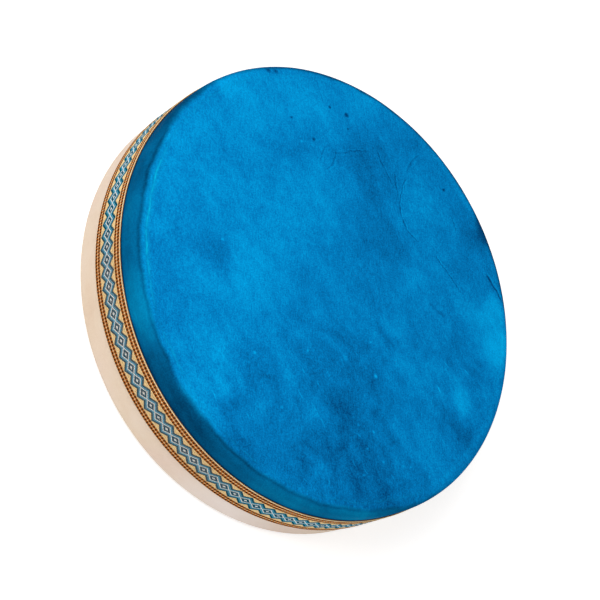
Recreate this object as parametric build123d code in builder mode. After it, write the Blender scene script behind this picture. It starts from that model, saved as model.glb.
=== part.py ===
from build123d import *

import math
import os

# An ocean drum: a bent wooden hoop with a hide head on each face, a woven ribbon round the side over the cut
# edges of the hides, and loose steel beads that roll between the heads.
# Millimetres. +Z is the drum's axis, and the drum lies on its natural head, with the origin in the middle of it.

# Wooden hoop
hoop_diameter = 304.0
hoop_depth = 69.0
hoop_thickness = 9.0
bearing_round = 5.5
bearing_steps = 4
inner_ease = 2.0
bearing_land = 1.0

# Hides, glued over the hoop while wet
hide_thickness = 0.9
glue_line = 0.1

# Woven ribbon that covers the cut edges of the hides
ribbon_width = 30.0
ribbon_thickness = 0.8
ribbon_height = 24.8
ribbon_lap = 14.0
skirt_gap = 3.0

# Steel beads, in rows across the drum
bead_diameter = 7.0
beads_per_row = 4
bead_spacing = 12.5
bead_floor_gap = 0.3
bead_wall_gap = 1.0
row_count = 24
least_roll = 20.0
scatter_share = 0.8
scatter_turn = 2.4

# Worked out from the above
hoop_radius = hoop_diameter / 2
chamber_radius = hoop_radius - hoop_thickness
edge_round = min(bearing_round, hoop_thickness - inner_ease - bearing_land)
hide_build = glue_line + hide_thickness
drum_radius = hoop_radius + hide_build
drum_height = hoop_depth + 2 * hide_build
ribbon_middle = ribbon_height + ribbon_width / 2
bottom_skirt = ribbon_middle - skirt_gap / 2
top_skirt = drum_height - ribbon_middle - skirt_gap / 2
turn_radius = hoop_radius - edge_round
turn_height = hide_build + edge_round


def turn_points(radius):
    """Points round a bearing edge, from the face to the side, at a radius about the middle of the turn."""
    turns = [math.radians(90 * step / bearing_steps) for step in range(bearing_steps + 1)]
    return [(turn_radius + radius * math.sin(t), turn_height - radius * math.cos(t)) for t in turns]


os.makedirs("parts", exist_ok=True)

# Bent hoop: a plain wall with wide rounds on the outer edges, which the hides bear on, and eased inner edges.
# The rounds are turned in short flats.
lower_round = turn_points(edge_round)
upper_round = [(x, drum_height - y) for x, y in reversed(lower_round)]
with BuildPart() as frame_hoop:
    with BuildSketch(Plane.XZ) as hoop_section:
        with BuildLine():
            Polyline(
                *lower_round,
                *upper_round,
                (chamber_radius, drum_height - hide_build),
                (chamber_radius, hide_build),
                close=True,
            )
        make_face()
        chamfer(hoop_section.vertices().group_by(Axis.X)[0], inner_ease)
    revolve(axis=Axis.Z)
frame_hoop.part.label = "frame_hoop"
export_step(frame_hoop.part, "parts/frame_hoop.step")

# Hide heads: each is stretched flat across the hoop, turns over its bearing edge and runs down the side.
# The section is drawn from the head's outer face inwards, so the top head's plane points down.
head_planes = {
    "bottom_head": (Plane.XZ, bottom_skirt),
    "top_head": (Plane((0, 0, drum_height), x_dir=(1, 0, 0), z_dir=(0, 1, 0)), top_skirt),
}
for head_name, (head_plane, skirt) in head_planes.items():
    with BuildPart() as head:
        with BuildSketch(head_plane):
            with BuildLine():
                Polyline(
                    (0, 0),
                    *turn_points(edge_round + hide_build),
                    (drum_radius, skirt),
                    (drum_radius - hide_thickness, skirt),
                    *reversed(turn_points(edge_round + glue_line)),
                    (0, hide_thickness),
                    close=True,
                )
            make_face()
        revolve(axis=Axis.Z)
    head.part.label = head_name
    export_step(head.part, f"parts/{head_name}.step")

# Ribbon: one turn round the side, with its end lapped over its start at the back
ribbon_inside = drum_radius + glue_line
ribbon_outside = ribbon_inside + ribbon_thickness
lap_outside = ribbon_outside + ribbon_thickness
with BuildPart() as trim_ribbon:
    with BuildSketch(Plane.XY.offset(ribbon_height)):
        Circle(ribbon_outside)
        Circle(ribbon_inside, mode=Mode.SUBTRACT)
    extrude(amount=ribbon_width)
    with BuildSketch(Plane.XY.offset(ribbon_height)):
        Circle(lap_outside)
        Circle(ribbon_inside, mode=Mode.SUBTRACT)
        Rectangle(ribbon_lap, lap_outside, align=(Align.CENTER, Align.MIN), mode=Mode.INTERSECT)
    extrude(amount=ribbon_width)
trim_ribbon.part.label = "trim_ribbon"
export_step(trim_ribbon.part, "parts/trim_ribbon.step")

# Bead: a ball in 26 flat faces, a cube whose edges are cut back until all the square faces match.
# It is as far across its flats as gives it the volume of the round bead.
flats_to_edge = 1 + math.sqrt(2)
ball_volume = math.pi / 6
faceted_volume = (4 + 10 * math.sqrt(2) / 3) / flats_to_edge**3
bead_flats = bead_diameter * (ball_volume / faceted_volume) ** (1 / 3)
bead_edge = bead_flats / flats_to_edge
bead_reach = bead_edge * math.sqrt(5 + 2 * math.sqrt(2)) / 2
with BuildPart() as bead:
    Box(bead_flats, bead_flats, bead_flats)
    chamfer(bead.edges(), (bead_flats - bead_edge) / 2)

# Rows of beads along X: each row rolls from wall to wall by itself, and the rows rest scattered over the drum
roll_radius = chamber_radius - bead_reach - bead_wall_gap
row_half_length = (beads_per_row - 1) * bead_spacing / 2
row_reach = math.sqrt(roll_radius**2 - (row_half_length + least_roll) ** 2)
row_pitch = 2 * row_reach / (row_count - 1)
bead_height = hide_thickness + bead_floor_gap + bead_flats / 2
for row in range(row_count):
    row_y = row * row_pitch - row_reach
    row_roll = math.sqrt(roll_radius**2 - row_y**2) - row_half_length
    row_x = row_roll * scatter_share * math.sin(scatter_turn * row)
    bead_xs = [row_x - row_half_length + n * bead_spacing for n in range(beads_per_row)]
    with BuildPart() as bead_row:
        with Locations(*[(x, row_y, bead_height) for x in bead_xs]):
            add(bead.part)
    row_name = f"bead_row_{row + 1:02d}"
    bead_row.part.label = row_name
    export_step(bead_row.part, f"parts/{row_name}.step")
    print(f"{row_name} rolls from {-row_roll - row_x:.3f} to {row_roll - row_x:.3f} mm")
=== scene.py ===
# %% [markdown]
# # An ocean drum
# The real drum is a bent wooden hoop with a goat hide stretched over each face. One hide is dyed blue and the
# other is left natural. A woven ribbon covers the line where their cut edges meet, and steel beads roll loose
# inside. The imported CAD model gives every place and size, and this lesson dresses it: hides with thickness
# and mottled dye, a ribbon woven thread by thread, round beads and grained wood.

# %% Load the frame
import math

import bmesh
import bpy
from mathutils import Matrix, Vector


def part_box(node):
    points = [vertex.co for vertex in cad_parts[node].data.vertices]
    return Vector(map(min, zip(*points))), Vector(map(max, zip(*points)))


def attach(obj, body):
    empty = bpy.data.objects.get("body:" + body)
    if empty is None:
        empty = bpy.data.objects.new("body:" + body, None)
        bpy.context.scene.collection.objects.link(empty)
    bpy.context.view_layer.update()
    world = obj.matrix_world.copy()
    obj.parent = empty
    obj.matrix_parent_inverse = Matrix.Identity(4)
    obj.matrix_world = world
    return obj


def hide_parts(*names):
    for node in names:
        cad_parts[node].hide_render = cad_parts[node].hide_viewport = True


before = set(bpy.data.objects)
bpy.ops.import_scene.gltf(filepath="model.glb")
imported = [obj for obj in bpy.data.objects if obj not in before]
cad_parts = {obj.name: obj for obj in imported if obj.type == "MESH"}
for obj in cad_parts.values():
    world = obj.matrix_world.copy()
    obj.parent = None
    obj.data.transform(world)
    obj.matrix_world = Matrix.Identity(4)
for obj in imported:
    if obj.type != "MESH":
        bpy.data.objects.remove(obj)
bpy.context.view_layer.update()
scene = bpy.context.scene
MM = 0.001

top_low, top_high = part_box("top_head")
bottom_low, bottom_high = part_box("bottom_head")
ribbon_low, ribbon_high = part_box("trim_ribbon")
drum_radius = top_high.x
drum_height = top_high.z
print(f"drum radius {drum_radius / MM:.1f} mm, height {drum_height / MM:.1f} mm")

# %% [markdown]
# ## Small helpers
# Nodes are quicker to read when one call adds a node, sets its options and fills its inputs. A value that is
# a socket is linked, and any other value is typed into the input.


# %% Helpers for nodes, materials and objects
def fill(tree, node, inputs):
    """Links the inputs that are given sockets, and types in the others, colours as opaque ones."""
    for name, value in inputs.items():
        socket = node.inputs[name]
        if isinstance(value, bpy.types.NodeSocket):
            tree.links.new(value, socket)
        elif socket.type == "RGBA":
            socket.default_value = (*value, 1.0)
        else:
            socket.default_value = value


def put(tree, kind, inputs=None, **options):
    """Adds a node and returns its outputs."""
    node = tree.nodes.new(kind)
    for name, value in options.items():
        setattr(node, name, value)
    fill(tree, node, inputs or {})
    return node.outputs


def maths(tree, operation, *values):
    """One Math node."""
    return put(tree, "ShaderNodeMath", dict(enumerate(values)), operation=operation)[0]


def vectors(tree, operation, *values):
    """One Vector Math node."""
    return put(tree, "ShaderNodeVectorMath", dict(enumerate(values)), operation=operation)


def times(tree, first, second):
    """Two values multiplied."""
    return maths(tree, "MULTIPLY", first, second)


def apart(tree, first, second):
    """How far two values are apart."""
    return maths(tree, "ABSOLUTE", maths(tree, "SUBTRACT", first, second))


def stretch(tree, value, low, high, to_low=0.0, to_high=1.0, kind="LINEAR"):
    """Maps a value from one range to another, and stops at the ends."""
    inputs = {"Value": value, 1: low, 2: high, 3: to_low, 4: to_high}
    return put(tree, "ShaderNodeMapRange", inputs, interpolation_type=kind)[0]


def fade(tree, value, low, high, start=1.0):
    """Falls smoothly from a start, where a value is low, to 0, where it is high."""
    return stretch(tree, value, low, high, start, 0.0, "SMOOTHSTEP")


def blend(tree, share, first, second):
    """Mixes two colours."""
    return put(tree, "ShaderNodeMix", {0: share, 6: first, 7: second}, data_type="RGBA")[2]


def ramp(tree, share, *stops):
    """A colour ramp through evenly spaced colours."""
    node = tree.nodes.new("ShaderNodeValToRGB")
    tree.links.new(share, node.inputs[0])
    elements = node.color_ramp.elements
    while len(elements) < len(stops):
        elements.new(0.5)
    for number, colour in enumerate(stops):
        elements[number].position = number / (len(stops) - 1)
        elements[number].color = (*colour, 1.0)
    return node.outputs[0]


def paint(name, finish, *values):
    """A new material, whose shader takes its inputs from a function of the node tree."""
    material = bpy.data.materials.new(name)
    material.use_nodes = True
    tree = material.node_tree
    fill(tree, tree.nodes["Principled BSDF"], finish(tree, *values))
    print(name, "with", len(tree.nodes), "nodes")
    return material


def new_object(name, data):
    """Links a new object at the origin."""
    made = bpy.data.objects.new(name, data)
    scene.collection.objects.link(made)
    return made


# %% [markdown]
# ## The camera
# The photograph looks down on the blue head from one side, and the drum's axis leans to the upper right of
# the picture. Here the drum lies flat, so the camera takes the tilt and the roll. It could be moved by hand
# until the outlines meet. But the head's centre in the picture, its distance, and the tilt and the heading of
# the drum's axis are enough to work it out. The drum is round, so the camera can stand on the -Y side, away
# from the lap in the ribbon.

# %% Camera
PHOTO_SIZE = 600
FOCAL_LENGTH_PX = 1500
HEAD_CENTRE_PX = (338.9, 281.8)
HEAD_DISTANCE = 0.974
AXIS_TILT = math.radians(41.3)
AXIS_HEADING = math.radians(-26.05)
SENSOR_WIDTH = 36


def sight_line(px, py):
    """Direction from the camera through a pixel: right, down and forwards, one unit deep."""
    middle = PHOTO_SIZE / 2
    return Vector(((px - middle) / FOCAL_LENGTH_PX, (py - middle) / FOCAL_LENGTH_PX, 1.0))


axis_seen = Vector((
    math.sin(AXIS_TILT) * math.cos(AXIS_HEADING),
    math.sin(AXIS_TILT) * math.sin(AXIS_HEADING),
    -math.cos(AXIS_TILT),
))
head_seen = HEAD_DISTANCE * sight_line(*HEAD_CENTRE_PX)
back_seen = (head_seen - axis_seen * head_seen.dot(axis_seen)).normalized()
seen_to_drum = Matrix((back_seen.cross(axis_seen), back_seen, axis_seen))
camera_place = Vector((0, 0, drum_height)) - seen_to_drum @ head_seen

camera_data = bpy.data.cameras.new("photo_camera")
camera_data.sensor_width = SENSOR_WIDTH
camera_data.lens = SENSOR_WIDTH * FOCAL_LENGTH_PX / PHOTO_SIZE
camera = new_object("photo_camera", camera_data)
camera_turn = seen_to_drum @ Matrix.Diagonal((1, -1, -1))
camera.matrix_world = Matrix.Translation(camera_place) @ camera_turn.to_4x4()
scene.camera = camera


def on_head(px, py):
    """The point of the dyed head under a pixel of the photograph."""
    sight = seen_to_drum @ sight_line(px, py)
    return camera_place + sight * ((drum_height - camera_place.z) / sight.z)


print("camera at", [round(x, 3) for x in camera_place])

# %% [markdown]
# ## Floor and light
# A wide pale floor and an even sky give the plain look of a product picture. A large soft lamp stands on the
# camera's left, so the blue head and the side that faces the camera are both lit and the light falls off a
# little to the right. A weaker one on the right fills the shade. More light would bring the floor to white,
# but it would bleach the drum too. So the floor glows faintly where the camera sees it, and still keeps the
# drum's shadow.

# %% Floor, sky and lamps
FLOOR_SIZE = 8.0
FLOOR_DROP = 0.3 * MM
FLOOR_GREY = (0.8, 0.8, 0.8)
FLOOR_GLOW = 0.5
WHITE = (1.0, 1.0, 1.0)
SKY_STRENGTH = 0.5
LAMP_SIZE = 0.9
LAMP_DISTANCE = 1.4

# Power in watts, heading round from the camera's side and height above the floor in degrees
LAMPS = {"key_softbox": (12.5, -48, 52), "fill_softbox": (3.8, 35, 28)}


def shows_background(tree):
    """1 for rays that show the background itself, directly, in gloss or through glass."""
    path = put(tree, "ShaderNodeLightPath")
    seen = maths(tree, "MAXIMUM", path["Is Camera Ray"], path["Is Glossy Ray"])
    return maths(tree, "MAXIMUM", seen, path["Is Transmission Ray"])


def floor_finish(tree):
    """Matt and pale, with a faint glow where it is seen itself."""
    return {
        "Base Color": FLOOR_GREY,
        "Roughness": 1.0,
        "Specular IOR Level": 0.0,
        "Emission Color": WHITE,
        "Emission Strength": times(tree, shows_background(tree), FLOOR_GLOW),
    }


floor_mesh = bpy.data.meshes.new("floor")
floor_reach = FLOOR_SIZE / 2
corners = [(x * floor_reach, y * floor_reach, -FLOOR_DROP) for x, y in ((-1, -1), (1, -1), (1, 1), (-1, 1))]
floor_mesh.from_pydata(corners, [], [(0, 1, 2, 3)])
floor = new_object("floor", floor_mesh)
floor_mesh.materials.append(paint("pale_floor", floor_finish))

world = bpy.data.worlds.new("plain_sky")
world.use_nodes = True
tree = world.node_tree
sky_strength = stretch(tree, shows_background(tree), 0.0, 1.0, SKY_STRENGTH, 1.0)
fill(tree, tree.nodes["Background"], {"Color": WHITE, "Strength": sky_strength})
scene.world = world

for lamp_name, (power, heading, height) in LAMPS.items():
    lamp_data = bpy.data.lights.new(lamp_name, "AREA")
    lamp_data.shape = "SQUARE"
    lamp_data.size = LAMP_SIZE
    lamp_data.energy = power
    lamp = new_object(lamp_name, lamp_data)
    round_turn = Matrix.Rotation(math.radians(heading), 3, "Z")
    lamp_aim = round_turn @ Vector((0, -math.cos(math.radians(height)), math.sin(math.radians(height))))
    lamp.location = lamp_aim * LAMP_DISTANCE
    lamp.rotation_mode = "QUATERNION"
    lamp.rotation_quaternion = lamp_aim.to_track_quat("Z", "Y")
    print(lamp_name, "at", [round(x, 2) for x in lamp.location])

scene.view_settings.view_transform = "Standard"

# %% [markdown]
# ## What makes a hide look like a hide
# Rawhide is never even: it clouds, it streaks along its fibres, dye misses its scars, and its veins show as a
# darker crease with a paler lip. A painted texture would fix that to one picture. Here it is built from
# shader groups. Both hides use a figure of clouds, streaks, flecks and specks, and a soft spot for a place
# that is lighter or darker. The dyed hide adds veins, each a thin wandering crease with a raised lip.

# %% Shader group for the figure of a hide
FIBRE_HEADING = math.radians(147)
MOTTLE_HEADING = math.radians(7)
NOISE_MIDDLE = (0.5, 0.5, 0.5)

# Scale of the noise that pushes a pattern about, and how far
MOTTLE_SWIRL = (30.0, 24 * MM)
FIBRE_SWIRL = (120.0, 3 * MM)

# How far a pattern is drawn out along X: the less, the longer
MOTTLE_DRAW = 0.5
FIBRE_DRAW = 0.22

# Place, scale, detail and roughness of each layer of noise, and the value that counts as none of it
HIDE_LAYERS = {
    "Cloud": ("bent", 20.0, 5.0, 0.6, 0.30),
    "Blotch": ("bent", 70.0, 3.0, 0.55, 0.32),
    "Mottle": ("bent and drawn", 110.0, 4.0, 0.65, 0.30),
    "Streak": ("fibres drawn", 950.0, 2.0, 0.7, 0.28),
    "Grain": ("fibres", 1050.0, 1.0, 0.6, 0.32),
}

# Place, dimensions, draw, scale and size of each kind of dot, and the share of cells that have none
HIDE_DOTS = {
    "Fleck": ("fibres", "3D", 0.45, 62.0, 0.16, 0.62),
    "Speck": ("fibres", "3D", 1.0, 38.0, 0.07, 0.78),
    "Wisp": ("bent", "2D", 0.14, 110.0, 0.08, 0.35),
}


def new_group(name, inputs, outputs, kind="ShaderNodeTree"):
    """An empty node group with named sockets: the group, its inputs and the node for its results."""
    group = bpy.data.node_groups.new(name, kind)
    for way, sockets in (("INPUT", inputs), ("OUTPUT", outputs)):
        for label, socket in sockets.items():
            group.interface.new_socket(label, in_out=way, socket_type=f"NodeSocket{socket}")
    return group, group.nodes.new("NodeGroupInput").outputs, group.nodes.new("NodeGroupOutput")


def noise(tree, place, scale, detail=2.0, roughness=0.5, seed=0.0, output="Fac"):
    """Noise from 0 to 1 at a place, with a seed."""
    inputs = {"Vector": place, "W": seed, "Scale": scale, "Detail": detail, "Roughness": roughness}
    return put(tree, "ShaderNodeTexNoise", inputs, noise_dimensions="4D")[output]


def noise_push(tree, place, scale, seed=0.0):
    """Noise as a push in any direction, up to half a unit each way."""
    return vectors(tree, "SUBTRACT", noise(tree, place, scale, seed=seed, output="Color"), NOISE_MIDDLE)[0]


def swirled(tree, place, scale, reach, seed):
    """A place pushed about by slow noise, so that what is drawn there has no straight edges."""
    push = noise_push(tree, place, scale, seed)
    return vectors(tree, "MULTIPLY_ADD", push, (reach, reach, reach), place)[0]


def turned(tree, place, angle):
    """A place turned about Z."""
    return put(tree, "ShaderNodeVectorRotate", {"Vector": place, "Angle": angle}, rotation_type="Z_AXIS")[0]


def drawn(tree, place, share):
    """A place that draws out what is made there along X."""
    return vectors(tree, "MULTIPLY", place, (share, 1.0, 1.0))[0]


def hide_figure_group():
    """Clouds, fibre streaks, fine grain, pale flecks, dark specks and wisps of a hide."""
    outputs = dict.fromkeys([*HIDE_LAYERS, *HIDE_DOTS], "Float")
    group, given, results = new_group("hide figure", {"Vector": "Vector", "Seed": "Float"}, outputs)
    seed = given["Seed"]
    fibres = turned(group, given["Vector"], -FIBRE_HEADING)
    bent = swirled(group, turned(group, given["Vector"], -MOTTLE_HEADING), *MOTTLE_SWIRL, seed)
    places = {
        "bent": bent,
        "bent and drawn": drawn(group, bent, MOTTLE_DRAW),
        "fibres": fibres,
        "fibres drawn": drawn(group, swirled(group, fibres, *FIBRE_SWIRL, seed), FIBRE_DRAW),
    }
    for label, (place, scale, detail, roughness, none) in HIDE_LAYERS.items():
        layer = noise(group, places[place], scale, detail, roughness, seed)
        fill(group, results, {label: stretch(group, layer, none, 1 - none)})
    for label, (place, dimensions, draw, scale, size, empty) in HIDE_DOTS.items():
        cells = {"Vector": drawn(group, places[place], draw), "Scale": scale}
        dots = put(group, "ShaderNodeTexVoronoi", cells, voronoi_dimensions=dimensions)
        chosen = maths(group, "GREATER_THAN", dots["Color"], empty)
        fill(group, results, {label: times(group, fade(group, dots["Distance"], 0.0, size), chosen)})
    return group


hide_figure = hide_figure_group()
print(hide_figure.name, "with", len(hide_figure.nodes), "nodes")

# %% Shader groups for a soft spot and a vein
VEIN_WANDER = 2.0 * MM
VEIN_WANDER_SCALE = 150.0

# Shares of a vein's length over which it starts and ends
VEIN_START = (0.0, 0.12)
VEIN_END = (0.7, 1.0)

# How many widths each part of a vein lies beside its line
VEIN_PARTS = {"Crease": 0.0, "Lip": 1.3}


def soft_spot_group():
    """1 in the middle of a soft, uneven spot and 0 outside it."""
    inputs = {"Vector": "Vector", "Push": "Vector", "Centre": "Vector", "Radius": "Float"}
    group, given, results = new_group("soft spot", inputs, {"Share": "Float"})
    bent = vectors(group, "MULTIPLY_ADD", given["Push"], given["Radius"], given["Vector"])[0]
    away = vectors(group, "DISTANCE", bent, given["Centre"])["Value"]
    away_in_radii = maths(group, "DIVIDE", away, given["Radius"])
    fill(group, results, {"Share": fade(group, away_in_radii, 0.0, 1.0)})
    return group


def vein_group():
    """A thin wandering crease from a start point, with a raised lip beside it."""
    inputs = {"Vector": "Vector", "Start": "Vector"}
    inputs.update(dict.fromkeys(("Heading", "Length", "Bend", "Width"), "Float"))
    group, given, results = new_group("vein", inputs, dict.fromkeys(VEIN_PARTS, "Float"))
    from_start = vectors(group, "SUBTRACT", given["Vector"], given["Start"])[0]
    local = turned(group, from_start, times(group, given["Heading"], -1.0))
    parts = put(group, "ShaderNodeSeparateXYZ", {0: local})
    share = maths(group, "DIVIDE", parts["X"], given["Length"])
    share_left = maths(group, "SUBTRACT", 1.0, share)
    arch = times(group, times(group, share, share_left), 4.0)
    wave = noise(group, local, VEIN_WANDER_SCALE)
    wander = stretch(group, wave, 0.0, 1.0, -VEIN_WANDER, VEIN_WANDER)
    middle = maths(group, "MULTIPLY_ADD", arch, given["Bend"], wander)
    aside = maths(group, "DIVIDE", maths(group, "SUBTRACT", parts["Y"], middle), given["Width"])
    starts = stretch(group, share, *VEIN_START, kind="SMOOTHSTEP")
    present = times(group, starts, fade(group, share, *VEIN_END))
    for label, shift in VEIN_PARTS.items():
        line = fade(group, apart(group, aside, shift), 0.0, 1.0)
        fill(group, results, {label: times(group, line, present)})
    return group


soft_spot = soft_spot_group()
vein = vein_group()
for group in (soft_spot, vein):
    print(group.name, "with", len(group.nodes), "nodes")

# %% [markdown]
# ## Dyed hide
# The blue is a dye in the skin, so the grain shows through and the gloss is low. The skirt round the side was
# dyed darker than the face. Along the bearing edge the dye is worn thin, and a painted highlight on its ridge
# adds to the pale line there. Painted shade darkens the skirt just under the shoulder and along the ribbon's
# edge, and painted light and shade lie on parts of the rims. The spots and veins could be left to chance, but
# no two skins are alike. So they stand where the photograph shows them, each given by a pixel and carried on
# to the head.

# %% Where the dye took
EDGE_TURN = 6.5 * MM
BEARING_RADIUS = drum_radius - EDGE_TURN
SKIRT_MIDDLE = (ribbon_high.z + drum_height) / 2

# Pixel, radius in millimetres and strength of the places that are lighter, or darker where it is negative.
# Most are dye that took unevenly. The last five, at the right rim, are painted light: a painted highlight
# where the rounded edge catches the lamp and a painted shadow where it turns away.
FACE_DYE_AND_PAINTED_LIGHT_SPOTS = (
    (190, 150, 60, 0.19), (250, 95, 55, 0.20), (236, 86, 20, 0.12), (306, 104, 40, 0.17),
    (358, 106, 28, 0.10), (160, 230, 45, 0.16), (256, 218, 55, 0.21), (308, 195, 44, 0.14),
    (198, 282, 24, 0.16), (254, 285, 42, 0.18), (205, 350, 46, 0.20), (194, 396, 24, 0.25),
    (212, 422, 16, 0.14), (236, 400, 15, -0.13), (252, 350, 26, -0.15), (295, 240, 26, 0.11),
    (212, 245, 20, -0.12), (236, 450, 18, -0.14), (368, 165, 48, -0.10), (375, 250, 40, -0.07),
    (430, 210, 24, -0.02), (416, 276, 28, 0.15), (428, 358, 16, -0.10), (392, 440, 16, -0.12),
    (336, 438, 8, 0.18), (354, 452, 9, 0.16), (355, 380, 52, -0.15), (345, 450, 62, -0.20),
    (258, 375, 26, -0.10), (310, 408, 20, 0.12), (385, 500, 40, -0.16), (416, 480, 22, -0.18),
    (404, 405, 20, -0.12), (452, 350, 20, -0.10), (464, 402, 18, 0.16), (456, 426, 22, -0.24),
    (479, 318, 28, 0.26), (497, 347, 28, 0.40), (496, 308, 16, 0.25), (484, 232, 14, -0.70),
    (472, 232, 26, -0.20),
)

# The same for small marks: pale scars, then dark specks
MARKS = (
    (376, 376, 2.2, 0.7), (255, 352, 1.8, 0.55), (359, 425, 1.7, 0.55), (374, 432, 1.6, 0.5),
    (282, 407, 1.6, 0.5), (371, 342, 1.6, 0.5), (404, 466, 1.5, 0.45), (411, 467, 1.5, 0.4),
    (364, 475, 1.4, 0.35), (384, 462, 1.6, 0.35), (368, 449, 1.5, 0.45), (302, 141, 1.6, 0.45),
    (308, 350, 1.4, 0.4), (223, 239, 1.5, 0.4),
    (347, 115, 2.6, -0.9), (444, 190, 2.0, -0.7), (330, 107, 1.9, -0.65), (292, 117, 1.9, -0.6),
    (314, 139, 2.2, -0.55), (348, 129, 1.5, -0.45), (269, 70, 3.4, -0.6), (276, 71, 3.0, -0.5),
)

# The same for the parts of the face that are more mottled than the rest
MOTTLED_SPOTS = ((350, 415, 115, 1.0), (455, 385, 50, 1.3), (235, 380, 40, 1.2))

# The same for the far rim, where the face's lighter blue is carried over the edge by some millimetres:
# painted light that keeps the turned edge from going dark where it faces away from the lamp
FAR_RIM_PAINTED_LIGHT_SPOTS = (
    (450, 480, 110, 3.6), (498, 395, 110, 3.6), (226, 80, 34, 3.2), (262, 72, 40, 2.0), (304, 71, 36, 1.4),
)

# The same for the places where the face fades softly into the darker skirt, a soft painted shade that takes
# the place of the line of painted shade under the shoulder
SOFT_SHADED_SHOULDERS = ((189, 396, 42, 1.0), (187, 107, 32, 1.5))

# The same for the places where the dye of the bearing edge is worn, and where its ridge carries a painted
# highlight
RUBBED_LIT_SPOTS = ((145, 210, 72, 0.95), (176, 350, 24, 0.3), (484, 330, 34, 0.6))

# Heading round the drum in degrees, radius in millimetres and strength of the lighter and darker places on
# the
# skirt: mostly uneven dye, with a painted sheen in the two light spots at headings -44 and -26, where the
# skirt is seen at a grazing angle
SKIRT_DYE_AND_SHEEN_SPOTS = (
    (-160, 44, -0.26), (-140, 20, -0.14), (-124, 34, 0.14), (-105, 38, 0.40), (-80, 44, -0.29),
    (-44, 44, 0.42), (-26, 34, 0.50), (87, 28, -0.40), (176, 36, 0.26),
)

# First and last pixel, bend in millimetres, width in millimetres and strength of each vein
VEINS = (
    (315, 79, 324, 106, 1.0, 0.9, 0.7), (376, 150, 397, 193, 0.0, 0.9, 1.0),
    (394, 172, 400, 208, 0.5, 0.9, 1.3), (407, 176, 400, 214, -2.0, 0.9, 1.3),
    (400, 204, 424, 246, -6.0, 0.9, 1.4), (407, 177, 422, 154, 3.5, 1.2, 0.8),
    (449, 214, 458, 235, 1.0, 0.8, 1.0), (433, 253, 463, 296, 1.0, 0.9, 1.3),
    (485, 274, 503, 306, 2.0, 1.4, 2.2), (335, 147, 322, 171, 4.5, 1.0, 1.0),
    (335, 155, 374, 152, 2.0, 1.0, 0.8), (323, 147, 321, 167, 0.0, 0.9, 0.7),
    (428, 303, 448, 319, 0.0, 2.4, 0.7), (310, 402, 328, 436, 2.0, 0.8, -0.8),
)


def on_side(spots, height):
    """Spots that are given by headings, carried on to the side at a height."""
    placed = []
    for heading, radius, strength in spots:
        turn = math.radians(heading)
        centre = Vector((drum_radius * math.cos(turn), drum_radius * math.sin(turn), height))
        placed.append((centre, radius * MM, strength))
    return placed


def on_face(spots):
    """Spots that are given by pixels, carried on to the head."""
    return [(on_head(px, py), radius * MM, strength) for px, py, radius, strength in spots]


print(len(FACE_DYE_AND_PAINTED_LIGHT_SPOTS + MARKS), "spots on the face,", len(SKIRT_DYE_AND_SHEEN_SPOTS), "on the skirt,", len(VEINS), "veins")

# %% How light the dyed hide is
SPOT_UNEVENNESS = 38.0
FACE_FIGURE = {"Cloud": 0.26, "Mottle": 0.22, "Streak": 0.22, "Grain": 0.28, "Fleck": 0.14}
FACE_START = 0.005
MOTTLED_FIGURE = {"Blotch": 0.20, "Mottle": 0.10, "Fleck": 0.28, "Wisp": 0.38}
MOTTLED_START = -0.16
SKIRT_FIGURE = {"Cloud": 0.26, "Mottle": 0.20, "Streak": 0.12, "Grain": 0.16, "Fleck": 0.10}
SKIRT_START = 0.065
HIDE_RELIEF = {"Mottle": 0.25, "Streak": 0.25, "Grain": 0.2}
HIDE_RELIEF_START = 0.4
VEIN_TONE = {"Crease": -0.21, "Lip": 0.09}
VEIN_RELIEF = {"Crease": -0.25, "Lip": 0.2}
# Painted shade: a dark line on the skirt just under the face's shoulder, where the skirt turns under
FOLD_SHADE_RADIUS = BEARING_RADIUS + 3.1 * MM
FOLD_SHADE_BAND = 1.5 * MM
FOLD_SHADE_DEPTH = 0.22

# Reach above the ribbon and depth of the dark bands along it: darker towards the ribbon, and a narrow line of
# painted shade under the ribbon's edge over a darker dye in the gap
SKIRT_SHADE_BANDS = ((6.0 * MM, 0.12), (1.8 * MM, 0.5))


def weighted(tree, start, *terms):
    """Adds value times weight for each (value, weight) to a start."""
    total = start
    for value, weight in terms:
        total = maths(tree, "MULTIPLY_ADD", value, weight, total)
    return total


def figured(tree, start, figure, weights, strength=1.0):
    """Adds parts of a figure, each with its own weight, to a start."""
    return weighted(tree, start, *((figure[part], strength * weight) for part, weight in weights.items()))


def spotted(tree, start, place, spots):
    """Adds soft, uneven spots, each a centre, a radius and a strength, to a start."""
    push = noise_push(tree, place, SPOT_UNEVENNESS)
    total = start
    for centre, radius, strength in spots:
        values = {"Vector": place, "Push": push, "Centre": centre, "Radius": radius}
        share = put(tree, "ShaderNodeGroup", values, node_tree=soft_spot)[0]
        total = weighted(tree, total, (share, strength))
    return total


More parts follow.
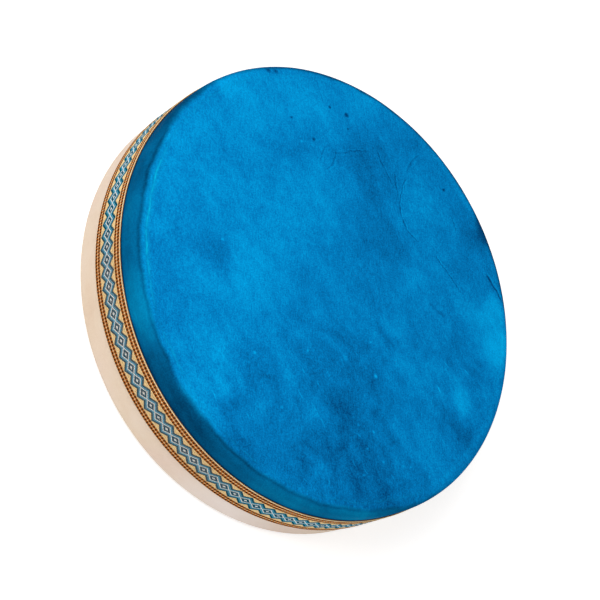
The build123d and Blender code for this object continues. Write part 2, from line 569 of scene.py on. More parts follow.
def face_tone(tree, place, figure):
    """How light the face is and how high its relief stands."""
    tone = figured(tree, FACE_START, figure, FACE_FIGURE)
    # Uneven dye and marks, with a painted highlight and a painted shadow at the right rim
    tone = spotted(tree, tone, place, on_face(FACE_DYE_AND_PAINTED_LIGHT_SPOTS + MARKS))
    mottled = spotted(tree, 0.0, place, on_face(MOTTLED_SPOTS))
    tone = weighted(tree, tone, (mottled, figured(tree, MOTTLED_START, figure, MOTTLED_FIGURE)))
    relief = figured(tree, HIDE_RELIEF_START, figure, HIDE_RELIEF)
    for first_x, first_y, last_x, last_y, bend, width, strength in VEINS:
        start = on_head(first_x, first_y)
        run = on_head(last_x, last_y) - start
        values = {
            "Vector": place,
            "Start": start,
            "Heading": math.atan2(run.y, run.x),
            "Length": run.length,
            "Bend": bend * MM,
            "Width": width * MM,
        }
        line = put(tree, "ShaderNodeGroup", values, node_tree=vein)
        tone = figured(tree, tone, line, VEIN_TONE, strength)
        relief = figured(tree, relief, line, VEIN_RELIEF, strength)
    return tone, relief


def skirt_tone(tree, place, radius, soft, figure):
    """How light the skirt is: darker by the ribbon and darkest in a line along it, which is painted shade
    under the ribbon's edge over a darker dye in the gap, and darker in a line of painted shade just under the
    face's shoulder, except where the shoulder is soft.
    """
    height = put(tree, "ShaderNodeSeparateXYZ", {0: place})["Z"]
    tone = figured(tree, SKIRT_START, figure, SKIRT_FIGURE)
    # Uneven dye, and a painted sheen low on the right
    tone = spotted(tree, tone, place, on_side(SKIRT_DYE_AND_SHEEN_SPOTS, SKIRT_MIDDLE))
    # Darker towards the ribbon, with a narrow line of painted shade under its edge
    for reach, depth in SKIRT_SHADE_BANDS:
        ribbon_edge_shade = fade(tree, height, ribbon_high.z, ribbon_high.z + reach, depth)
        tone = maths(tree, "SUBTRACT", tone, ribbon_edge_shade)
    # Painted shade under the shoulder, left out where the shoulder is soft
    fold_shade = fade(tree, apart(tree, radius, FOLD_SHADE_RADIUS), 0.0, FOLD_SHADE_BAND, -FOLD_SHADE_DEPTH)
    return weighted(tree, tone, (fold_shade, stretch(tree, soft, 0.0, 1.0, 1.0, 0.0)))


print("fold_shade", round((FOLD_SHADE_RADIUS - BEARING_RADIUS) / MM, 1), "mm outside the bearing edge")

# %% Dyed hide material
FACE_BLUES = ((0.0006, 0.052, 0.170), (0.0009, 0.185, 0.480), (0.0012, 0.375, 0.770))
SKIRT_BLUES = ((0.0004, 0.030, 0.085), (0.0006, 0.105, 0.250), (0.0008, 0.215, 0.430))
RUBBED_LIT_BLUE = (0.002, 0.43, 0.70)
DYED_SEED = 3.0
DYED_ROUGHNESS = (0.5, 0.68)
DYED_GLOSS = 0.001
HIDE_BUMP = 0.25 * MM
ACROSS = (1.0, 1.0, 0.0)

# The shoulder, where the dye of the face gives way to that of the skirt, and how far it wanders. Where the
# shoulder is soft, the darker skirt colour reaches further in over a wider ramp, as painted shade.
SHOULDER_RADIUS = BEARING_RADIUS + 1.6 * MM
SHOULDER_RAMP = 1.6 * MM
SOFT_SHADE_RAMP = 2.9 * MM
SOFT_SHADE_REACH = 1.3 * MM
WANDER_NOISE = {"scale": 60.0, "detail": 3.0}
WANDER_SPREAD = (0.3, 0.7)
WANDER = 0.8 * MM

# The pale line at the bearing edge, partly dye worn thin and partly a painted highlight on its ridge, the
# faint band that it lies in, and the noise that breaks it up
RUBBED_LIT_RADIUS = BEARING_RADIUS - 1.9 * MM
RUBBED_LIT_LINE = 1.0 * MM
RUBBED_LIT_BAND = 4.0 * MM
RUBBED_LIT_BAND_SHARE = 0.22
RUBBED_LIT_ANYWHERE = 0.08
WEAR_AND_GLINT_NOISE = {"scale": 170.0, "detail": 3.0}
WEAR_AND_GLINT_SPREAD = (0.38, 0.62)
WEAR_AND_GLINT = (0.25, 1.3)


def bump(tree, height, distance, strength=1.0):
    """A bump normal from a height from 0 to 1, which stands for a distance."""
    return put(tree, "ShaderNodeBump", {"Height": height, "Distance": distance, "Strength": strength})[0]


def radius_at(tree, place):
    """Distance of a place from the drum's axis."""
    return vectors(tree, "LENGTH", vectors(tree, "MULTIPLY", place, ACROSS)[0])["Value"]


def rubbed_lit_share(tree, place, radius):
    """How pale the bearing edge is: partly dye worn off, partly a painted highlight on its ridge."""
    off_line = apart(tree, radius, RUBBED_LIT_RADIUS)
    wear_and_glint = stretch(tree, noise(tree, place, **WEAR_AND_GLINT_NOISE), *WEAR_AND_GLINT_SPREAD, *WEAR_AND_GLINT)
    line = times(tree, fade(tree, off_line, 0.0, RUBBED_LIT_LINE), wear_and_glint)
    band = fade(tree, off_line, 0.0, RUBBED_LIT_BAND, RUBBED_LIT_BAND_SHARE)
    where = spotted(tree, RUBBED_LIT_ANYWHERE, place, on_face(RUBBED_LIT_SPOTS))
    return times(tree, maths(tree, "MAXIMUM", line, band), where)


def dyed_hide_finish(tree):
    """Blue dyed goat hide: clouded face with veins, darker skirt, pale bearing edge."""
    place = put(tree, "ShaderNodeTexCoord")["Object"]
    figure = put(tree, "ShaderNodeGroup", {"Vector": place, "Seed": DYED_SEED}, node_tree=hide_figure)
    wander = stretch(tree, noise(tree, place, **WANDER_NOISE), *WANDER_SPREAD, -WANDER, WANDER)
    radius = maths(tree, "ADD", radius_at(tree, place), wander)
    # Painted shade: where the face fades softly into the darker skirt
    soft = spotted(tree, 0.0, place, on_face(SOFT_SHADED_SHOULDERS))
    tone, relief = face_tone(tree, place, figure)
    face = ramp(tree, tone, *FACE_BLUES)
    skirt = ramp(tree, skirt_tone(tree, place, radius, soft, figure), *SKIRT_BLUES)

    # Painted light: the face's lighter blue reaches over the far rim
    boundary = spotted(tree, SHOULDER_RADIUS / MM, place, on_face(FAR_RIM_PAINTED_LIGHT_SPOTS))
    shoulder = weighted(tree, radius, (boundary, -MM), (soft, -SOFT_SHADE_REACH))
    reach = stretch(tree, soft, 0.0, 1.0, SHOULDER_RAMP, SOFT_SHADE_RAMP)
    face_share = fade(tree, maths(tree, "DIVIDE", shoulder, reach), -1.0, 1.0)
    # Worn dye and a painted highlight along the bearing edge
    rubbed_lit = times(tree, rubbed_lit_share(tree, place, radius), face_share)
    return {
        "Base Color": blend(tree, rubbed_lit, blend(tree, face_share, skirt, face), RUBBED_LIT_BLUE),
        "Roughness": stretch(tree, figure["Mottle"], 0.0, 1.0, *DYED_ROUGHNESS),
        "Specular IOR Level": DYED_GLOSS,
        "Normal": bump(tree, relief, HIDE_BUMP),
    }


dyed_hide = paint("dyed_hide", dyed_hide_finish)

# %% [markdown]
# ## Natural hide
# The other hide is undyed goat skin, which is cream with pink and yellow clouds and the dots of its hair
# roots.
# Low on one side it has a paler, pinker patch: painted light where the lamp only grazes the wall, and a
# pinker tone of the skin. A plain cream would look like plastic. So it uses the same figure with another
# seed, and the two skins differ as two goats do.

# %% Natural hide material
NATURAL_TONES = ((0.63, 0.44, 0.30), (0.73, 0.585, 0.445), (0.79, 0.685, 0.575))
NATURAL_FIGURE = {"Cloud": 0.42, "Mottle": 0.2, "Streak": 0.08, "Grain": 0.06, "Fleck": 0.1, "Speck": -0.3}
NATURAL_START = 0.12
NATURAL_SEED = 11.0
NATURAL_ROUGHNESS = (0.48, 0.66)
NATURAL_GLOSS = 0.25
BLUSH_PINK = (0.74, 0.56, 0.48)
BLUSH_NOISE = {"scale": 17.0, "detail": 4.0, "seed": 5.0}
BLUSH_SPREAD = (0.42, 0.7)
BLUSH_SHARE = 0.6
ROOT_BROWN = (0.45, 0.30, 0.20)
ROOT_SCALE = 700.0
ROOT_SIZE = 0.22
ROOT_SHARE = 0.28
ROOT_RELIEF = -0.3
ROOT_PATCH_NOISE = {"scale": 28.0, "detail": 3.0, "seed": 9.0}
ROOT_PATCH_SPREAD = (0.5, 0.65)
PINK_PAINTED_LIGHT = (0.82, 0.71, 0.645)

# Heading round the drum in degrees, radius in millimetres and strength of the paler, pinker patch of painted
# light where the lamp only grazes the side
PINK_PAINTED_LIGHT_SPOTS = ((-50, 66, 1.0),)


def natural_hide_finish(tree):
    """Undyed goat hide."""
    place = put(tree, "ShaderNodeTexCoord")["Object"]
    figure = put(tree, "ShaderNodeGroup", {"Vector": place, "Seed": NATURAL_SEED}, node_tree=hide_figure)
    colour = ramp(tree, figured(tree, NATURAL_START, figure, NATURAL_FIGURE), *NATURAL_TONES)
    blush = stretch(tree, noise(tree, place, **BLUSH_NOISE), *BLUSH_SPREAD)
    colour = blend(tree, times(tree, blush, BLUSH_SHARE), colour, BLUSH_PINK)
    # Painted light: a paler, pinker patch where the lamp only grazes the side
    pink_painted_light = spotted(tree, 0.0, place, on_side(PINK_PAINTED_LIGHT_SPOTS, ribbon_low.z / 2))
    colour = blend(tree, pink_painted_light, colour, PINK_PAINTED_LIGHT)
    cells = put(tree, "ShaderNodeTexVoronoi", {"Vector": place, "Scale": ROOT_SCALE})["Distance"]
    patches = stretch(tree, noise(tree, place, **ROOT_PATCH_NOISE), *ROOT_PATCH_SPREAD)
    root = times(tree, fade(tree, cells, 0.0, ROOT_SIZE), patches)
    relief = figured(tree, HIDE_RELIEF_START, figure, HIDE_RELIEF)
    return {
        "Base Color": blend(tree, times(tree, root, ROOT_SHARE), colour, ROOT_BROWN),
        "Roughness": stretch(tree, figure["Mottle"], 0.0, 1.0, *NATURAL_ROUGHNESS),
        "Specular IOR Level": NATURAL_GLOSS,
        "Normal": bump(tree, weighted(tree, relief, (root, ROOT_RELIEF)), HIDE_BUMP),
    }


natural_hide = paint("natural_hide", natural_hide_finish)

# %% [markdown]
# ## The hides
# A wet hide is pulled over the hoop, turns over its rounded edge and dries tight as a drum head. It could be
# a Screw modifier, but a node tree keeps the rule in view: each point of a section is turned about the drum's
# axis in equal steps. The section runs over the outside of the hide and back along its inside, so the skin
# has its real thickness. A slow noise lifts the outer face a little, because no dried hide is truly flat.

# %% Tree that turns a section about the drum's axis
MERGE_DISTANCE = 0.001 * MM


def new_tree(name, inputs):
    """An empty geometry tree with named inputs: the tree, its inputs and the node for its result."""
    geometry = {"Geometry": "Geometry"}
    return new_group(name, {**geometry, **inputs}, geometry, "GeometryNodeTree")


def shape(tree, kind, geometry, **inputs):
    """One node that takes in geometry and puts it out changed."""
    return put(tree, kind, {"Geometry": geometry, **inputs})[0]


def dressed(tree, geometry, finish, result):
    """The end of every tree: smooth, real geometry with its finish."""
    smooth = shape(tree, "GeometryNodeSetShadeSmooth", geometry)
    realized = shape(tree, "GeometryNodeRealizeInstances", smooth)
    fill(tree, result, {"Geometry": shape(tree, "GeometryNodeSetMaterial", realized, Material=finish)})


def grow(name, start, tree, values):
    """Runs a tree on a starting mesh and returns the result as a plain mesh object."""
    maker = new_object(name + "_maker", start)
    modifier = maker.modifiers.new("tree", "NODES")
    modifier.node_group = tree
    for item in tree.interface.items_tree:
        if item.in_out == "INPUT" and item.name in values:
            modifier[item.identifier] = values[item.name]
    depsgraph = bpy.context.evaluated_depsgraph_get()
    evaluated = maker.evaluated_get(depsgraph)
    mesh = bpy.data.meshes.new_from_object(evaluated, preserve_all_data_layers=True, depsgraph=depsgraph)
    bpy.data.objects.remove(maker)
    mesh.name = name
    return new_object(name, mesh)


def turned_section_tree():
    """Turns the points of a section, drawn in the XZ plane, about Z."""
    sizes = {"Segments": "Int", "Outer Points": "Int", "Ripple": "Float", "Ripple Scale": "Float"}
    tree, given, result = new_tree("turned section", {**sizes, "Finish": "Material"})
    points = put(tree, "GeometryNodeAttributeDomainSize", {0: given["Geometry"]})["Point Count"]
    across = maths(tree, "ADD", given["Segments"], 1)
    grid = put(tree, "GeometryNodeMeshGrid", {"Vertices X": points, "Vertices Y": across})["Mesh"]
    index = put(tree, "GeometryNodeInputIndex")[0]
    row = maths(tree, "FLOOR", maths(tree, "DIVIDE", maths(tree, "ADD", index, 0.5), across))
    step = maths(tree, "SUBTRACT", index, times(tree, row, across))
    angle = maths(tree, "DIVIDE", times(tree, step, math.tau), given["Segments"])
    place = put(tree, "GeometryNodeInputPosition")[0]
    sample = {"Geometry": given["Geometry"], "Value": place, "Index": row}
    point = put(tree, "GeometryNodeSampleIndex", sample, data_type="FLOAT_VECTOR")[0]
    shaped = shape(tree, "GeometryNodeSetPosition", grid, Position=turned(tree, point, angle))
    waves = put(tree, "ShaderNodeTexNoise", {"Scale": given["Ripple Scale"]})["Fac"]
    lift = times(tree, maths(tree, "SUBTRACT", waves, 0.5), given["Ripple"])
    out = put(tree, "GeometryNodeInputNormal")[0]
    offset = put(tree, "ShaderNodeVectorMath", {0: out, "Scale": lift}, operation="SCALE")[0]
    is_outer = put(tree, "FunctionNodeCompare", {0: row, 1: given["Outer Points"]}, operation="LESS_THAN")[0]
    rippled = shape(tree, "GeometryNodeSetPosition", shaped, Selection=is_outer, Offset=offset)
    closed = shape(tree, "GeometryNodeMergeByDistance", rippled, Distance=MERGE_DISTANCE)
    dressed(tree, closed, given["Finish"], result)
    return tree


def face_outwards(piece):
    """Merges doubles and points all faces of a closed piece outwards."""
    shell = bmesh.new()
    shell.from_mesh(piece.data)
    bmesh.ops.remove_doubles(shell, verts=shell.verts, dist=MERGE_DISTANCE)
    bmesh.ops.recalc_face_normals(shell, faces=shell.faces)
    shell.to_mesh(piece.data)
    shell.free()


turned_section = turned_section_tree()
print(turned_section.name, "with", len(turned_section.nodes), "nodes")

# %% Heads
HIDE_THICKNESS = 0.9 * MM
HEAD_SEGMENTS = 480
HIDE_RIPPLE = 0.5 * MM
HIDE_RIPPLE_SCALE = 16.0
RIDGE_HEIGHT = 0.3 * MM
RIDGE_WIDTH = 1.6 * MM
RIDGE_START = BEARING_RADIUS - 4 * RIDGE_WIDTH

# Points across the face, up the ridge, round the bend and down the skirt
OUTER_POINTS = (40, 9, 14, 14)
INNER_POINTS = (12, 3, 7, 4)


def spaced(first, last, count):
    """Evenly spaced values, both ends included."""
    return [first + (last - first) * i / (count - 1) for i in range(count)]


def hide_section(face, side, skirt_end):
    """Outer points of a hide's section, then all of them. side is 1 at the top and -1 at the bottom."""
    middle_height = face - side * EDGE_TURN

    def layer(inset, ridge, rings, ridge_rings, turns, rows):
        turn = EDGE_TURN - inset
        radii = spaced(0.0, RIDGE_START, rings) + spaced(RIDGE_START, BEARING_RADIUS, ridge_rings)[1:]
        flat = []
        for radius in radii:
            widths_off = (radius - BEARING_RADIUS) / RIDGE_WIDTH
            drop = ridge * (1 - math.exp(-(widths_off**2)))
            flat.append((radius, middle_height + side * (turn - drop)))
        bend = [
            (BEARING_RADIUS + turn * math.sin(a), middle_height + side * turn * math.cos(a))
            for a in spaced(0.0, math.pi / 2, turns)
        ]
        wall = [(BEARING_RADIUS + turn, z) for z in spaced(middle_height, skirt_end, rows)]
        return flat + bend[1:] + wall[1:]

    outer = layer(0.0, RIDGE_HEIGHT, *OUTER_POINTS)
    inner = layer(HIDE_THICKNESS, 0.0, *INNER_POINTS)
    return outer, outer + inner[::-1]


def make_head(name, face, side, skirt_end, finish):
    """One hide head."""
    outer, section = hide_section(face, side, skirt_end)
    mesh = bpy.data.meshes.new(name + "_section")
    mesh.from_pydata([(r, 0, z) for r, z in section], [(i, i + 1) for i in range(len(section) - 1)], [])
    sizes = {
        "Segments": HEAD_SEGMENTS,
        "Outer Points": len(outer),
        "Ripple": HIDE_RIPPLE,
        "Ripple Scale": HIDE_RIPPLE_SCALE,
    }
    head = grow(name, mesh, turned_section, {**sizes, "Finish": finish})
    face_outwards(head)
    print(name, len(head.data.polygons), "faces")
    return head


blue_head = make_head("blue_head", drum_height, 1, top_low.z, dyed_hide)
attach(blue_head, "drum")
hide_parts("top_head")
cream_head = make_head("cream_head", bottom_low.z, -1, bottom_high.z, natural_hide)
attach(cream_head, "drum")
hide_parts("bottom_head")

# %% [markdown]
# ## The ribbon
# A jacquard ribbon is glued over the cut edges of the hides. Its pattern could be a texture, but it isn't
# printed: in each pick of weft, the yarn of the wanted colour floats on the face and the others run behind.
# So the pattern is written once, as the yarn on top at any place of one repeat, and each run of one yarn
# along a pick becomes a small float of thread. A node tree repeats the floats along the ribbon and winds them
# round the drum, and the plain tape under them is wound by the same rule. Where the ribbon comes round again,
# it climbs on to its own start.

# %% The pattern of one repeat
RIBBON_WIDTH = ribbon_high.z - ribbon_low.z
PICKS_PER_REPEAT = 20
REPEATS_PER_TURN = 113
CHECKS_PER_REPEAT = 4
CHECK_SHARE = 0.6

# Shares of the ribbon's width, from the natural hide up
EDGE_YARN = 0.012
SELVAGE = 0.967
CHECK_ROWS = ((0.012, 0.086), (0.114, 0.19), (0.767, 0.843), (0.887, 0.963))
GROUND = (0.183, 0.772)
DIAMOND_MIDDLE = 0.478
DIAMOND_REACH = 0.272

# Shift of the diamonds along a repeat, and how far they come in where they join
DIAMOND_SHIFT = 0.17
DIAMOND_SLOPE = 0.5

# Rings of a diamond, each with its outer edge as a share of the diamond's reach
DIAMOND_RINGS = (
    (0.15, "white"), (0.41, "dark_teal"), (0.54, "white"), (0.75, "light_teal"), (1.01, "dark_teal"),
)


def yarn_on_top(u, v):
    """Yarn on the face at u along one repeat and v up across the ribbon, both from 0 to 1."""
    if v < EDGE_YARN or v > SELVAGE:
        return "peach"
    checked = u * CHECKS_PER_REPEAT % 1 < CHECK_SHARE
    for low, high in CHECK_ROWS:
        if low <= v < high:
            return "brown" if checked else "rust"
    if not GROUND[0] <= v < GROUND[1]:
        return "orange" if checked else "peach"
    away = abs(v - DIAMOND_MIDDLE) / DIAMOND_REACH
    ring = away + DIAMOND_SLOPE * 2 * abs((u + DIAMOND_SHIFT) % 1 - 0.5)
    if ring > 1.0:
        return "gold"
    return next(yarn for outer, yarn in DIAMOND_RINGS if ring < outer)


print(REPEATS_PER_TURN, "diamonds round the drum, with", yarn_on_top(0.5, DIAMOND_MIDDLE), "at the middle")

# %% Floats of thread
TAPE_THICKNESS = 0.6 * MM
GLUE_LINE = 0.1 * MM
SAMPLES_ACROSS = 120
LONGEST_FLOAT = 2.7 * MM
FLOAT_HEIGHT = 0.24 * MM
FLOAT_SINK = 0.06 * MM
FLOAT_FILL = 0.98
FLOAT_END = 0.28 * MM
FLOAT_END_SHARE = 0.35
FLOAT_FACES = ((3, 2, 1, 0), (0, 1, 4), (1, 2, 5, 4), (2, 3, 5), (3, 0, 4, 5))

tape_inside = drum_radius + GLUE_LINE
tape_middle_radius = tape_inside + TAPE_THICKNESS / 2
turn_length = math.tau * tape_middle_radius
repeat_length = turn_length / REPEATS_PER_TURN
pick_width = repeat_length / PICKS_PER_REPEAT


def floats_of_pick(u):
    """Runs of one yarn up the ribbon, as (yarn, start, end) in metres, cut at the longest float."""
    runs = []
    for sample in range(SAMPLES_ACROSS):
        yarn = yarn_on_top(u, (sample + 0.5) / SAMPLES_ACROSS)
        if runs and runs[-1][0] == yarn:
            runs[-1][2] = sample + 1
        else:
            runs.append([yarn, sample, sample + 1])
    for yarn, first, last in runs:
        start = first * RIBBON_WIDTH / SAMPLES_ACROSS
        length = (last - first) * RIBBON_WIDTH / SAMPLES_ACROSS
        parts = math.ceil(length / LONGEST_FLOAT)
        for part in range(parts):
            yield yarn, start + length * part / parts, start + length * (part + 1) / parts


def float_corners(x, start, end):
    """Corners of one float: four on the tape, and two of a ridge that comes down at both ends."""
    low = TAPE_THICKNESS - FLOAT_SINK
    high = TAPE_THICKNESS + FLOAT_HEIGHT
    half = FLOAT_FILL * pick_width / 2
    drop = min(FLOAT_END, FLOAT_END_SHARE * (end - start))
    foot = [(x - half, start, low), (x + half, start, low), (x + half, end, low), (x - half, end, low)]
    return [*foot, (x, start + drop, high), (x, end - drop, high)]


def one_repeat():
    """Meshes of the floats in one repeat, one for each yarn."""
    built = {}
    for pick in range(PICKS_PER_REPEAT):
        u = (pick + 0.5) / PICKS_PER_REPEAT
        for yarn, start, end in floats_of_pick(u):
            corners, faces = built.setdefault(yarn, ([], []))
            faces += [tuple(len(corners) + i for i in face) for face in FLOAT_FACES]
            corners += float_corners(u * repeat_length, start, end)
    meshes = {}
    for yarn, (corners, faces) in built.items():
        meshes[yarn] = bpy.data.meshes.new(yarn + "_repeat")
        meshes[yarn].from_pydata(corners, [], faces)
    return meshes


repeat_meshes = one_repeat()
float_counts = {yarn: len(mesh.polygons) // len(FLOAT_FACES) for yarn, mesh in repeat_meshes.items()}
print(float_counts, "floats in one repeat")

# %% Trees that wind the ribbon round the drum
LAP = 14.0 * MM
LAP_CLIMB = 6.0 * MM
LAP_LIFT = 0.78 * MM
WINDING_INPUTS = dict.fromkeys(("Radius", "Foot", "Start Angle", "Turn Length"), "Float")


def winding_group():
    """Winds flat work round the drum: X goes round, Y up the side and Z outwards."""
    group, given, result = new_tree("wind round the drum", WINDING_INPUTS)
    parts = put(group, "ShaderNodeSeparateXYZ", {0: put(group, "GeometryNodeInputPosition")[0]})
    turns = maths(group, "DIVIDE", parts["X"], given["Turn Length"])
    angle = maths(group, "MULTIPLY_ADD", turns, math.tau, given["Start Angle"])
    climb_start = maths(group, "SUBTRACT", given["Turn Length"], LAP_CLIMB)
    lift = stretch(group, parts["X"], climb_start, given["Turn Length"], 0.0, LAP_LIFT, "SMOOTHSTEP")
    radius = maths(group, "ADD", maths(group, "ADD", given["Radius"], parts["Z"]), lift)
    x = times(group, radius, maths(group, "COSINE", angle))
    y = times(group, radius, maths(group, "SINE", angle))
    z = maths(group, "ADD", given["Foot"], parts["Y"])
    place = put(group, "ShaderNodeCombineXYZ", {0: x, 1: y, 2: z})[0]
    wound = shape(group, "GeometryNodeSetPosition", given["Geometry"], Position=place)
    fill(group, result, {"Geometry": wound})
    return group


winding = winding_group()


def wind(tree, given, geometry):
    """Places the winding group with the tree's own inputs."""
    inputs = {"Geometry": geometry, **{label: given[label] for label in WINDING_INPUTS}}
    return put(tree, "GeometryNodeGroup", inputs, node_tree=winding)[0]


def row_of_copies(tree, piece, count, spacing, **start):
    """Copies of a piece in a row along X."""
    step = put(tree, "ShaderNodeCombineXYZ", {0: spacing})[0]
    line = put(tree, "GeometryNodeMeshLine", {"Count": count, **start, "Offset": step})[0]
    return put(tree, "GeometryNodeInstanceOnPoints", {"Points": line, "Instance": piece})[0]


def thread_tree():
    """Repeats the floats of one yarn along the ribbon, cuts them to length and winds them round the drum."""
    sizes = {"Repeats": "Int", "Repeat Length": "Float", "Length": "Float", **WINDING_INPUTS}
    tree, given, result = new_tree("woven yarn", {**sizes, "Finish": "Material"})
    copies = row_of_copies(tree, given["Geometry"], given["Repeats"], given["Repeat Length"])
    real = shape(tree, "GeometryNodeRealizeInstances", copies)
    along = put(tree, "ShaderNodeSeparateXYZ", {0: put(tree, "GeometryNodeInputPosition")[0]})["X"]
    beyond = put(tree, "FunctionNodeCompare", {0: along, 1: given["Length"]}, operation="GREATER_THAN")[0]
    cut = shape(tree, "GeometryNodeDeleteGeometry", real, Selection=beyond)
    dressed(tree, wind(tree, given, cut), given["Finish"], result)
    return tree


def tape_tree():
    """Winds the plain tape round the drum."""
    tree, given, result = new_tree("wound tape", {**WINDING_INPUTS, "Finish": "Material"})
    dressed(tree, wind(tree, given, given["Geometry"]), given["Finish"], result)
    return tree


woven_yarn = thread_tree()
wound_tape = tape_tree()
for group in (winding, woven_yarn, wound_tape):
    print(group.name, "with", len(group.nodes), "nodes")

# %% [markdown]
# ## Yarns
# The yarns are spun and dyed before they are woven, so they share one surface and differ only in colour. Each
# could have nodes of its own, but a shader group makes the plies, with painted shade and light along their
# twist, and the stray fibres once for all of them, and for the tape under them.

# %% Yarn materials
YARN_COLOURS = {
    "gold": (0.97, 0.73, 0.38),
    "orange": (0.80, 0.37, 0.12),
    "rust": (0.56, 0.17, 0.028),
    "brown": (0.085, 0.014, 0.0014),
    "dark_teal": (0.004, 0.115, 0.18),
    "light_teal": (0.075, 0.365, 0.52),
    "white": (0.80, 0.86, 0.85),
    "peach": (1.0, 0.80, 0.48),
}
# The tape that shows in the gaps between floats: the ground of the weave, darkened as painted shade in the
# gaps
TAPE_BROWN_WITH_GAP_SHADE = (0.34, 0.15, 0.045)
PLY_SCALE = 900.0
PLY_SLANT = (0.6, 0.0, 0.5)
PLY_DISTORTION = 2.0
LOT_NOISE = {"scale": 260.0, "detail": 3.0, "roughness": 0.7}
FUZZ_NOISE = {"scale": 2600.0, "detail": 2.0, "roughness": 0.6}
YARN_SHADE = {"plies": 0.25, "lots": 0.5, "fuzz": 0.25}
YARN_RELIEF = {"plies": 0.6, "fuzz": 0.4}
YARN_DEEP = 0.62
YARN_PALE = 1.22
YARN_ROUGHNESS = (0.85, 0.6)
YARN_GLOSS = 0.001
YARN_BUMP = (0.06 * MM, 0.6)


def yarn_group():
    """Shade and relief of spun yarn: plies, with painted shade and light along their twist, uneven lots of
    dye and stray fibres.
    """
    outputs = {"Shade": "Float", "Relief": "Float"}
    group, given, results = new_group("spun yarn", {"Vector": "Vector", "Ply": "Float"}, outputs)
    slanted = put(group, "ShaderNodeMapping", {"Vector": given["Vector"], "Rotation": PLY_SLANT})[0]
    waves = {"Vector": slanted, "Scale": given["Ply"], "Distortion": PLY_DISTORTION}
    figure = {
        "plies": put(group, "ShaderNodeTexWave", waves)["Fac"],
        "lots": noise(group, given["Vector"], **LOT_NOISE),
        "fuzz": noise(group, given["Vector"], **FUZZ_NOISE),
    }
    shade = figured(group, 0.0, figure, YARN_SHADE)
    fill(group, results, {"Shade": shade, "Relief": figured(group, 0.0, figure, YARN_RELIEF)})
    return group


spun_yarn = yarn_group()


def yarn_finish(tree, colour):
    """Spun yarn of one colour."""
    place = put(tree, "ShaderNodeTexCoord")["Object"]
    yarn = put(tree, "ShaderNodeGroup", {"Vector": place, "Ply": PLY_SCALE}, node_tree=spun_yarn)
    # The ramp's darker and paler ends carry painted shade and light along the plies, and uneven dye
    deep = tuple(YARN_DEEP * c for c in colour)
    pale = tuple(min(1.0, YARN_PALE * c) for c in colour)
    return {
        "Base Color": ramp(tree, yarn["Shade"], deep, colour, pale),
        "Roughness": stretch(tree, yarn["Relief"], 0.0, 1.0, *YARN_ROUGHNESS),
        "Specular IOR Level": YARN_GLOSS,
        "Normal": bump(tree, yarn["Relief"], *YARN_BUMP),
    }


yarns = {yarn: paint(yarn + "_yarn", yarn_finish, colour) for yarn, colour in YARN_COLOURS.items()}
# The tape under the floats, with painted shade in the gaps between them
tape_ground_with_gap_shade = paint("ribbon_ground_with_gap_shade", yarn_finish, TAPE_BROWN_WITH_GAP_SHADE)

# %% Wind the tape and its threads
TAPE_STEP = 1.8 * MM
TAPE_EDGE = 0.2 * MM
LAP_HEADING = math.radians(90)
ribbon_length = turn_length + LAP
winding_sizes = {
    "Radius": tape_inside,
    "Foot": ribbon_low.z,
    "Start Angle": LAP_HEADING - LAP / 2 / tape_middle_radius,
    "Turn Length": turn_length,
}
thread_sizes = {
    "Repeats": math.ceil(ribbon_length / repeat_length),
    "Repeat Length": repeat_length,
    "Length": math.floor(ribbon_length / pick_width) * pick_width,
    **winding_sizes,
}


def flat_tape():
    """The tape before it is wound: a thin bar with eased edges."""
    section = [
        (TAPE_EDGE, 0.0),
        (RIBBON_WIDTH - TAPE_EDGE, 0.0),
        (RIBBON_WIDTH, TAPE_EDGE),
        (RIBBON_WIDTH, TAPE_THICKNESS - TAPE_EDGE),
        (RIBBON_WIDTH - TAPE_EDGE, TAPE_THICKNESS),
        (TAPE_EDGE, TAPE_THICKNESS),
        (0.0, TAPE_THICKNESS - TAPE_EDGE),
        (0.0, TAPE_EDGE),
    ]
    sides = len(section)
    stations = spaced(0.0, ribbon_length, math.ceil(ribbon_length / TAPE_STEP) + 1)
    corners = [(x, y, z) for x in stations for y, z in section]
    faces = [tuple(range(sides)), tuple(range(len(corners) - 1, len(corners) - sides - 1, -1))]
    for ring in range(len(stations) - 1):
        for side in range(sides):
            here = ring * sides
            beside = (side + 1) % sides
            faces.append((here + side, here + sides + side, here + sides + beside, here + beside))
    mesh = bpy.data.meshes.new("flat_tape")
    mesh.from_pydata(corners, [], faces)
    return mesh


ribbon_tape = grow("ribbon_tape", flat_tape(), wound_tape, {**winding_sizes, "Finish": tape_ground_with_gap_shade})
face_outwards(ribbon_tape)
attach(ribbon_tape, "drum")
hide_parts("trim_ribbon")

for yarn, mesh in repeat_meshes.items():
    thread = grow(yarn + "_threads", mesh, woven_yarn, {**thread_sizes, "Finish": yarns[yarn]})
    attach(thread, "drum")
    print(thread.name, len(thread.data.polygons), "faces")

# %% [markdown]
# ## Beads
# The sound comes from steel beads that roll over the lower head. Each bead could be an object, but each row
# is one moving body, so each row is one mesh: a line of points with a ball on each. The rows take their
# places from the frame.

# %% Beads
BEAD_DIAMETER = 7.0 * MM
BEADS_PER_ROW = 4
BEAD_SPACING = 12.5 * MM
BALL_SEGMENTS = 16
BALL_RINGS = 10
STEEL_TONES = ((0.42, 0.41, 0.40), (0.62, 0.62, 0.62))
STEEL_ROUGHNESS = (0.16, 0.34)
TARNISH_NOISE = {"scale": 160.0}
SCUFF_NOISE = {"scale": 1400.0, "detail": 4.0, "roughness": 0.7}
SCUFF_SPREAD = (0.3, 0.7)
SCUFF_BUMP = (0.02 * MM, 0.4)


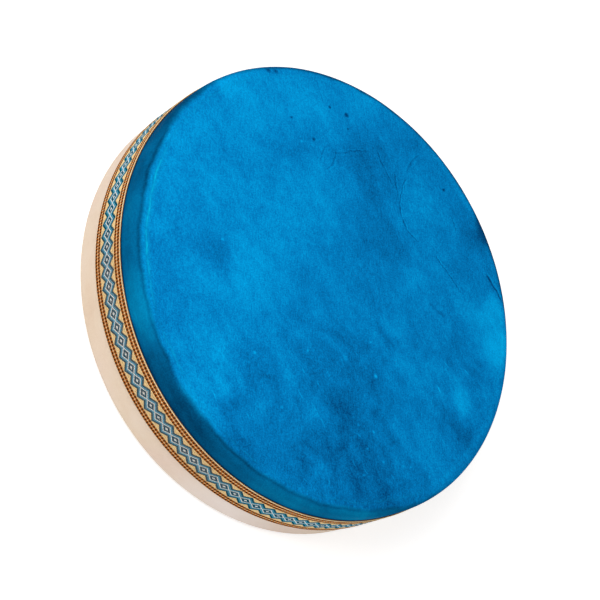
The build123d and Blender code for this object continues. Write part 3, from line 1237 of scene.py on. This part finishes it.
def bead_tree():
    """A row of balls along X."""
    sizes = {"Count": "Int", "Spacing": "Float", "Diameter": "Float", "Start": "Vector"}
    tree, given, result = new_tree("row of beads", {**sizes, "Finish": "Material"})
    radius = times(tree, given["Diameter"], 0.5)
    ball_sizes = {"Segments": BALL_SEGMENTS, "Rings": BALL_RINGS, "Radius": radius}
    ball = put(tree, "GeometryNodeMeshUVSphere", ball_sizes)[0]
    start = {"Start Location": given["Start"]}
    copies = row_of_copies(tree, ball, given["Count"], given["Spacing"], **start)
    dressed(tree, copies, given["Finish"], result)
    return tree


def bead_finish(tree):
    """Rolled steel with fine scuffs."""
    place = put(tree, "ShaderNodeTexCoord")["Object"]
    scuffs = noise(tree, place, **SCUFF_NOISE)
    return {
        "Base Color": ramp(tree, noise(tree, place, **TARNISH_NOISE), *STEEL_TONES),
        "Metallic": 1.0,
        "Roughness": stretch(tree, scuffs, *SCUFF_SPREAD, *STEEL_ROUGHNESS),
        "Normal": bump(tree, scuffs, *SCUFF_BUMP),
    }


row_of_beads = bead_tree()
bead_steel = paint("bead_steel", bead_finish)
bead_rows = sorted(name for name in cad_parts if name.startswith("bead_row_"))
for row_name in bead_rows:
    row_low, row_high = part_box(row_name)
    row_middle = (row_low + row_high) / 2
    bead_sizes = {
        "Count": BEADS_PER_ROW,
        "Spacing": BEAD_SPACING,
        "Diameter": BEAD_DIAMETER,
        "Start": row_middle - Vector(((BEADS_PER_ROW - 1) * BEAD_SPACING / 2, 0, 0)),
        "Finish": bead_steel,
    }
    name = row_name.replace("bead_row", "beads")
    beads = grow(name, bpy.data.meshes.new("no_mesh"), row_of_beads, bead_sizes)
    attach(beads, row_name)
    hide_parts(row_name)
print(len(bead_rows), "rows of", BEADS_PER_ROW, "beads")

# %% [markdown]
# ## Hoop
# The hoop's shape is right as it comes from the frame, so it only needs its wood. The plank was steamed and
# bent, so the grain runs round the drum, and wood cut from a straight block would look wrong. The material
# unrolls the hoop: the way round, the way through and the height become straight axes, and the grain is noise
# drawn out along the first.

# %% Hoop material
WOOD_TONES = ((0.30, 0.15, 0.06), (0.52, 0.31, 0.15), (0.66, 0.44, 0.24))
WOOD_FIGURE = {"bands": 1.1, "pores": 0.4}
WOOD_START = -0.25
WOOD_ROUGHNESS = (0.45, 0.65)
WOOD_DRAW = 0.05
BAND_NOISE = {"scale": 160.0, "detail": 3.0, "roughness": 0.6}
PORE_NOISE = {"scale": 1500.0, "detail": 2.0, "roughness": 0.6}
PORE_SPREAD = (0.3, 0.7)
PORE_BUMP = (0.15 * MM, 0.5)


def hoop_wood_finish(tree):
    """Bent wood with its grain round the hoop."""
    place = put(tree, "ShaderNodeTexCoord")["Object"]
    parts = put(tree, "ShaderNodeSeparateXYZ", {0: place})
    around = times(tree, maths(tree, "ARCTAN2", parts["Y"], parts["X"]), drum_radius)
    axes = {0: times(tree, around, WOOD_DRAW), 1: radius_at(tree, place), 2: parts["Z"]}
    unrolled = put(tree, "ShaderNodeCombineXYZ", axes)[0]
    bands = noise(tree, unrolled, **BAND_NOISE)
    pores = noise(tree, unrolled, **PORE_NOISE)
    tone = figured(tree, WOOD_START, {"bands": bands, "pores": pores}, WOOD_FIGURE)
    return {
        "Base Color": ramp(tree, tone, *WOOD_TONES),
        "Roughness": stretch(tree, pores, *PORE_SPREAD, *WOOD_ROUGHNESS),
        "Normal": bump(tree, pores, *PORE_BUMP),
    }


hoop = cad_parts["frame_hoop"]
hoop.data.materials.clear()
hoop.data.materials.append(paint("hoop_wood", hoop_wood_finish))
